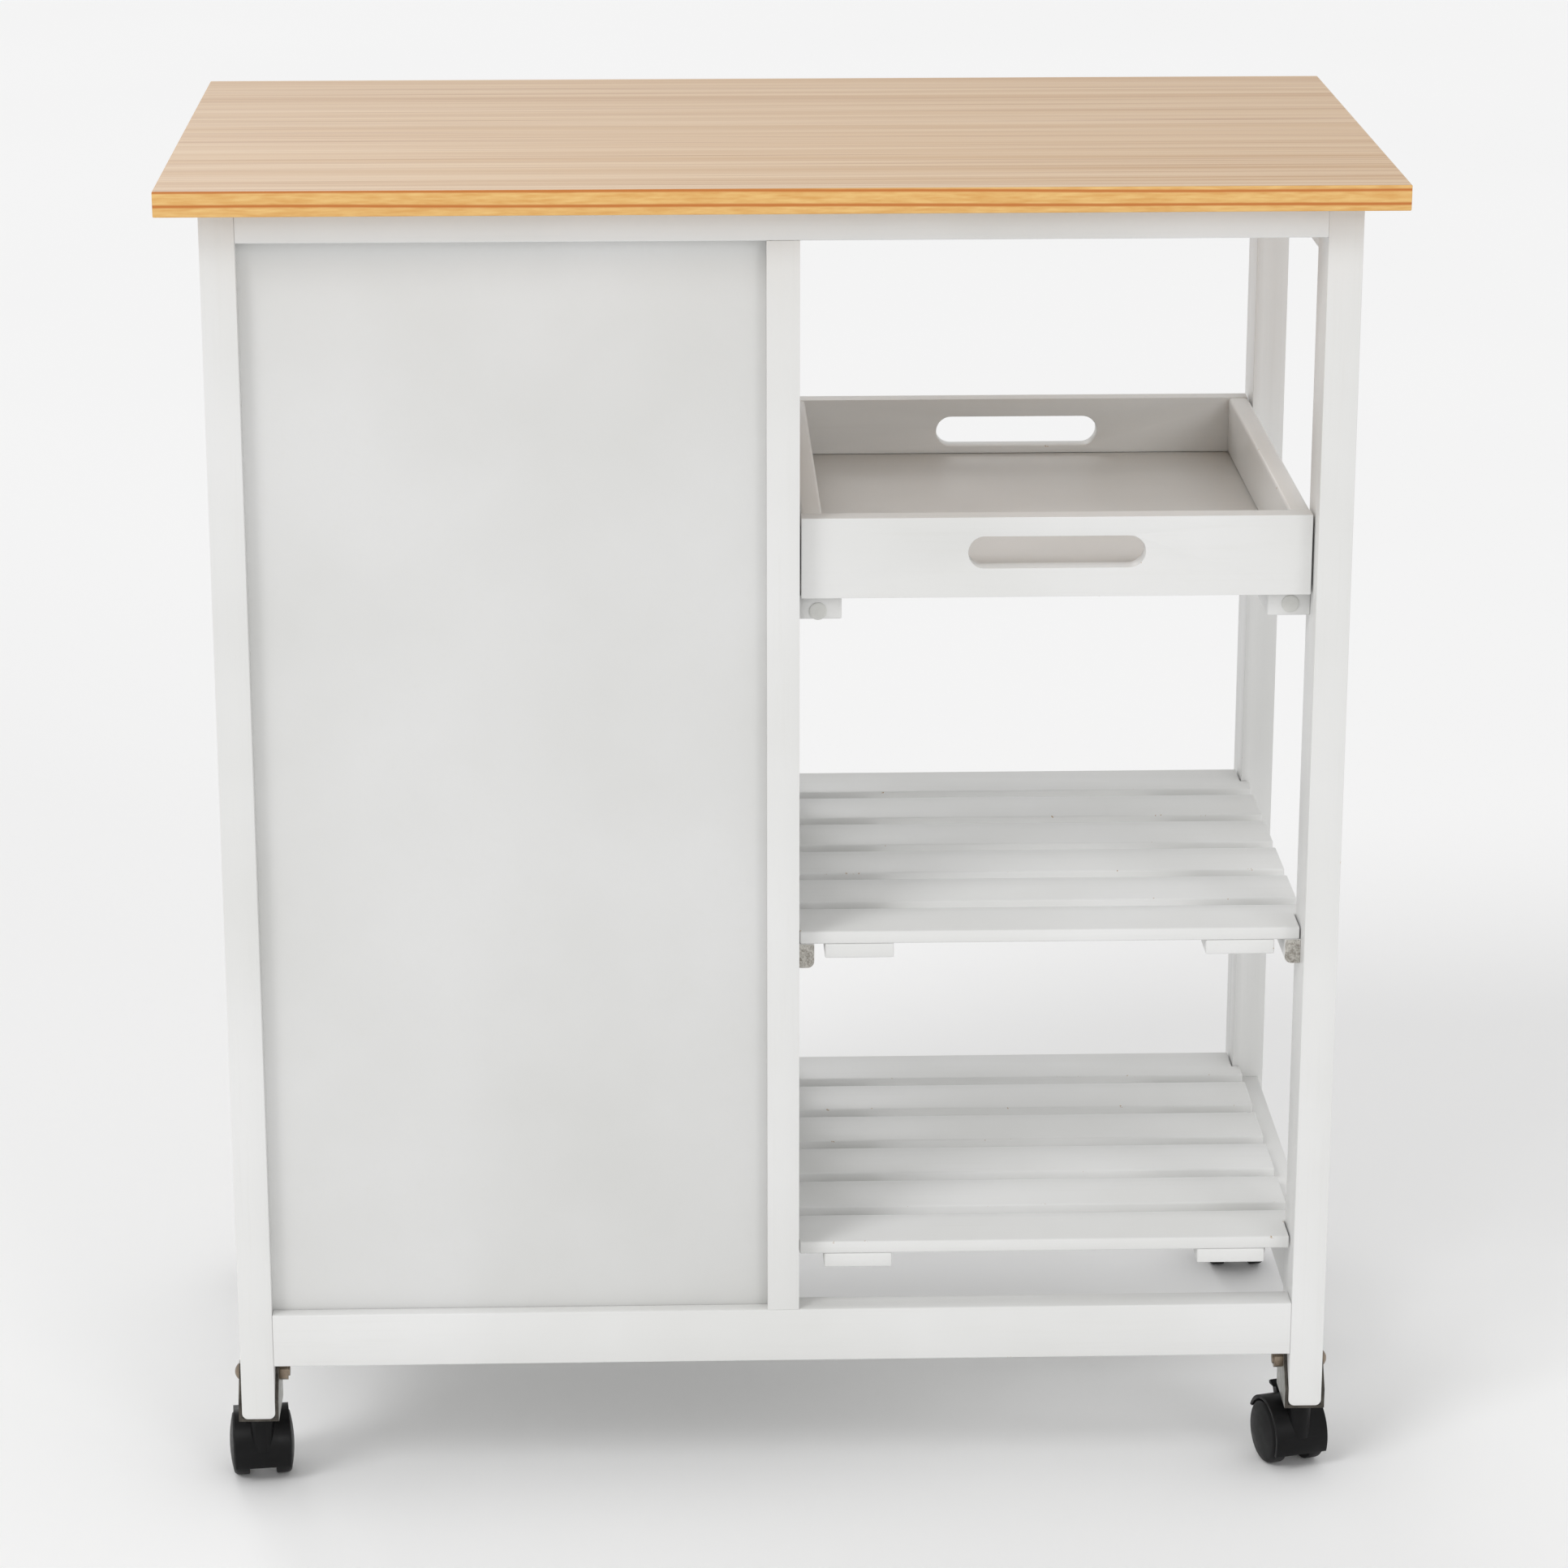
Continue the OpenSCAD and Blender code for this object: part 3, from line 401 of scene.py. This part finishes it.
def amber_edge(name):
    """Lacquered pine cut along the rings: honey yellow, with wavy orange lines of late wood."""
    edge, tree = new_finish(name)
    place = add_node(tree, "ShaderNodeTexCoord").outputs["Object"]
    stretched = add_node(tree, "ShaderNodeMapping", {
        "Vector": place, "Scale": (0.12, 1.0, 1.0)}).outputs["Vector"]
    rings = add_node(tree, "ShaderNodeTexWave", {
        "Vector": stretched, "Scale": MM_BANDS / 7.5, "Distortion": 3.2, "Detail": 2.0,
        "Detail Scale": 0.35, "Phase Offset": 1.2}, bands_direction="Z").outputs["Fac"]
    fibre = add_node(tree, "ShaderNodeTexNoise", {
        "Vector": stretched, "Scale": 1000 / 1.6, "Detail": 4.0}).outputs["Fac"]
    glow = add_node(tree, "ShaderNodeMapRange", {
        "Value": fibre, "From Min": 0.3, "From Max": 0.7}).outputs["Result"]
    wood = add_node(tree, "ShaderNodeMix", {
        0: glow, 6: linear("efc47c"), 7: linear("dfa75c")}, data_type="RGBA").outputs[2]
    late = add_node(tree, "ShaderNodeMapRange", {
        "Value": rings, "From Min": 0.8, "From Max": 1.0}).outputs["Result"]
    colour = add_node(tree, "ShaderNodeMix", {
        0: late, 6: wood, 7: linear("c6742c")}, data_type="RGBA").outputs[2]
    ridges = add_node(tree, "ShaderNodeBump", {
        "Height": fibre, "Strength": 0.3, "Distance": 0.0001}).outputs["Normal"]
    shader = add_node(tree, "ShaderNodeBsdfPrincipled", {
        "Base Color": colour, "Roughness": 0.42, "IOR": 1.48, "Normal": ridges})
    add_node(tree, "ShaderNodeOutputMaterial", {"Surface": shader.outputs["BSDF"]})
    return edge


def ring_end(name):
    """The board's end: growth rings cut across as shallow arcs."""
    end, tree = new_finish(name)
    place = add_node(tree, "ShaderNodeTexCoord").outputs["Object"]
    centred = add_node(tree, "ShaderNodeMapping", {
        "Vector": place, "Location": (0.0, 0.04, -0.66)}).outputs["Vector"]
    rings = add_node(tree, "ShaderNodeTexWave", {
        "Vector": centred, "Scale": MM_BANDS / 4, "Distortion": 1.6, "Detail": 2.0,
        "Detail Scale": 0.6}, wave_type="RINGS", rings_direction="X").outputs["Fac"]
    late = add_node(tree, "ShaderNodeMapRange", {
        "Value": rings, "From Min": 0.55, "From Max": 1.0, "To Max": 0.8}).outputs["Result"]
    colour = add_node(tree, "ShaderNodeMix", {
        0: late, 6: linear("dfb978"), 7: linear("bd7f3f")}, data_type="RGBA").outputs[2]
    shader = add_node(tree, "ShaderNodeBsdfPrincipled", {
        "Base Color": colour, "Roughness": 0.6, "IOR": 1.45})
    add_node(tree, "ShaderNodeOutputMaterial", {"Surface": shader.outputs["BSDF"]})
    return end


top_low, top_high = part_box("worktop")
top_middle, top_size = (top_low + top_high) / 2, top_high - top_low
bpy.ops.object.select_all(action="DESELECT")
bpy.ops.mesh.primitive_cube_add(size=1, location=top_middle)
worktop = bpy.context.object
worktop.name = "worktop_board"
worktop.scale = top_size
bpy.ops.object.transform_apply(location=True, rotation=True, scale=True)
bpy.ops.object.mode_set(mode="EDIT")
bpy.ops.mesh.select_all(action="SELECT")
bpy.ops.mesh.bevel(offset=0.0007, segments=3, affect="EDGES")
bpy.ops.object.mode_set(mode="OBJECT")
for finish in (
    planed_pine("planed_pine_lacquered_face", (420, 1.9, 1.9), "e2c8aa", "d4b491", "b98f6c"),
    amber_edge("lacquered_pine_long_edge"),
    ring_end("lacquered_pine_end"),
):
    worktop.data.materials.append(finish)
for face in worktop.data.polygons:
    face.material_index = 1 if abs(face.normal.y) > 0.6 else 2 if abs(face.normal.x) > 0.6 else 0
bpy.ops.object.shade_smooth_by_angle(angle=math.radians(30))
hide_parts("worktop")
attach(worktop, "cart")

# ---- Caster brackets and bolts ----
# Each bracket is one strip of zinc-plated steel folded up round the foot of the leg, held by a
# domed bolt right through it, with a nut on the inner side.

# Zinc on folded strip: a duller grey than the hinges; the sheared edges dark brown-grey, partly
# bare cut steel and partly painted shade for the dark gap between strap and leg.
bracket_zinc = zinc_plate("zinc_plated_bracket", ("bcbcb7", "a3a39e"), 0.36)
sheared_edge_and_painted_shade = zinc_plate("zinc_sheared_edge_and_painted_shade", ("5f5b55", "45423e"), 0.5)
# The strip's edges facing front and back, beside the leg, take the dark finish: painted shade of
# the gap round the leg, on a real sheared edge. The stem, below, stays bright.
ABOVE_PLATE = 0.0017
plate_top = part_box("leg_rear_left")[0].z
brackets = eased("caster_brackets", 0.35, [bracket_zinc, sheared_edge_and_painted_shade, bracket_zinc])
for face in brackets.data.polygons:
    if abs(face.normal.y) > 0.6 and face.center.z > plate_top + ABOVE_PLATE:
        face.material_index = 1
# Yellow-passivated zinc, gone brownish.
bolt_zinc = zinc_plate("zinc_plated_bolt", ("9b8d7d", "776a5d"), 0.3)
eased("caster_bolts", 0.3, [bolt_zinc])

# ---- Caster hoods, axles and brake levers ----
# Hoods and levers are moulded black nylon; the axle is a plain steel bar pressed into the hood.
# Only the two casters at the back have a lever.

# Black nylon, moulded on a fine spark grain: deep black with a weak, wide highlight.
hood_nylon = moulded("moulded_nylon_black", ("0c0c0d", "161617"), 0.36, 0.7, 0.02, 0.18)
# Steel bar, drawn and ground: smooth and bright, seen only from below between the wheels.
axle_steel = zinc_plate("ground_steel_bar", ("a9a9a6", "959592"), 0.24)
# How far each caster is turned about its stem, in degrees.
CASTERS = {"front_left": 0, "front_right": 0, "rear_left": 16, "rear_right": 6}
for corner in CASTERS:
    eased(f"caster_{corner}_hood", 0.4, [hood_nylon])
    frame["nodes"][f"caster_{corner}_axle"].data.materials.clear()
    frame["nodes"][f"caster_{corner}_axle"].data.materials.append(axle_steel)
for corner in ("rear_left", "rear_right"):
    eased(f"caster_{corner}_lever", 0.4, [hood_nylon])

# ---- Caster wheels ----
# Each wheel is one moulding of harder nylon with a plain domed face that runs round into the
# tread, and a flat inner face. Modelled once, then copied to each end of each axle.

# The same nylon with a coarser grain, so a shade duller than the hoods.
wheel_nylon = moulded("moulded_nylon_wheel", ("0d0d0e", "191919"), 0.42, 0.9, 0.025, 0.18)
WHEEL_R = 0.0188
WHEEL_W = 0.011
DOME = 0.0046
bpy.ops.object.select_all(action="DESELECT")
bpy.ops.mesh.primitive_cylinder_add(
    vertices=72, radius=WHEEL_R, depth=WHEEL_W - DOME, rotation=(0, math.radians(90), 0),
    location=(-DOME / 2, 0, 0))
wheel = bpy.context.object
bpy.ops.object.transform_apply(location=True, rotation=True, scale=True)
wheel.data.materials.append(wheel_nylon)
# Each step goes in from the edge by the first number and out by the second: four for the round
# of the rim, four for the domed face.
wheel_steps = (
    (0.00022, 0.00111), (0.00063, 0.00094), (0.00094, 0.00063), (0.00111, 0.00022),
    (0.003, 0.00062), (0.0035, 0.00052), (0.004, 0.0004), (0.0036, 0.00016),
)
pick_faces(wheel, lambda face: face.normal.x > 0.9)
for thickness, depth in wheel_steps:
    bpy.ops.mesh.inset(thickness=thickness, depth=depth)
bpy.ops.object.mode_set(mode="OBJECT")
pick_faces(wheel, lambda face: face.normal.x < -0.9)
bpy.ops.mesh.bevel(offset=0.0008, segments=2, affect="EDGES")
bpy.ops.object.mode_set(mode="OBJECT")
bpy.ops.object.shade_smooth_by_angle(angle=math.radians(35))

for corner, swivel in CASTERS.items():
    for side, turn in (("left", 180), ("right", 0)):
        node = f"caster_{corner}_wheel_{side}"
        low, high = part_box(node)
        made = bpy.data.objects.new(f"{node}_made", wheel.data.copy())
        bpy.context.scene.collection.objects.link(made)
        only(made)
        made.rotation_euler = Euler((0, 0, math.radians(swivel + turn)))
        made.location = (low + high) / 2
        bpy.ops.object.transform_apply(location=True, rotation=True, scale=True)
        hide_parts(node)
        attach(made, f"wheel_{corner}_{side}")
bpy.data.objects.remove(wheel)

# ---- Studio ----
# A pale floor that runs out to nothing, two large soft lamps beside the camera, the stronger on
# its left, and even light from all round.

# Matt emulsion, rolled: white with barely a cloud in it.
floor_paint, floor_tree = new_finish("matt_studio_floor")
floor_place = add_node(floor_tree, "ShaderNodeTexCoord").outputs["Object"]
floor_cloud = add_node(floor_tree, "ShaderNodeTexNoise", {
    "Vector": floor_place, "Scale": 1.5, "Detail": 2.0}).outputs["Fac"]
floor_tone = add_node(floor_tree, "ShaderNodeMix", {
    0: floor_cloud, 6: linear("fdfdfd"), 7: linear("fbfbfb")}, data_type="RGBA").outputs[2]
floor_shader = add_node(floor_tree, "ShaderNodeBsdfPrincipled", {
    "Base Color": floor_tone, "Roughness": 0.9, "Specular IOR Level": 0.2})
add_node(floor_tree, "ShaderNodeOutputMaterial", {"Surface": floor_shader.outputs["BSDF"]})
bpy.ops.object.select_all(action="DESELECT")
bpy.ops.mesh.primitive_plane_add(size=60, location=(0, 0, 0))
floor = bpy.context.object
floor.name = "studio_floor"
floor.data.materials.append(floor_paint)

for name, from_left_deg, height_deg, power in (
    ("key_lamp", 42, 42, 0.7), ("fill_lamp", -30, 24, 0.3), ("rim_lamp", 165, 30, 0.35),
):
    lamp = bpy.data.lights.new(name, "SUN")
    lamp.angle = math.radians(20)
    lamp.energy = power
    holder = bpy.data.objects.new(name, lamp)
    bpy.context.scene.collection.objects.link(holder)
    side, up = math.radians(from_left_deg), math.radians(height_deg)
    from_lamp = -Vector((
        math.sin(side) * math.cos(up), math.cos(side) * math.cos(up), math.sin(up)))
    holder.rotation_euler = from_lamp.to_track_quat("-Z", "Y").to_euler()

sky = bpy.data.worlds.new("studio_air")
bpy.context.scene.world = sky
sky.use_nodes = True
sky.node_tree.nodes.clear()
glow = add_node(sky.node_tree, "ShaderNodeBackground", {
    "Color": linear("fafafa"), "Strength": 0.72})
add_node(sky.node_tree, "ShaderNodeOutputWorld", {"Surface": glow.outputs["Background"]})

# The camera stands behind the cart, a little above its top, and looks slightly down.
CAMERA_PLACE = (0.0762, 2.685, 1.2229)
CAMERA_TILT_DEG = 17.43
CAMERA_PAN_DEG = 1.74
LENS_MM = 109.1
lens = bpy.data.cameras.new("studio_camera")
lens.sensor_width = 36
lens.lens = LENS_MM
camera = bpy.data.objects.new("studio_camera", lens)
bpy.context.scene.collection.objects.link(camera)
camera.location = CAMERA_PLACE
camera.rotation_euler = Euler((
    math.radians(90 - CAMERA_TILT_DEG), 0, math.radians(180 - CAMERA_PAN_DEG)))
bpy.context.scene.camera = camera
bpy.context.scene.view_settings.view_transform = "Standard"
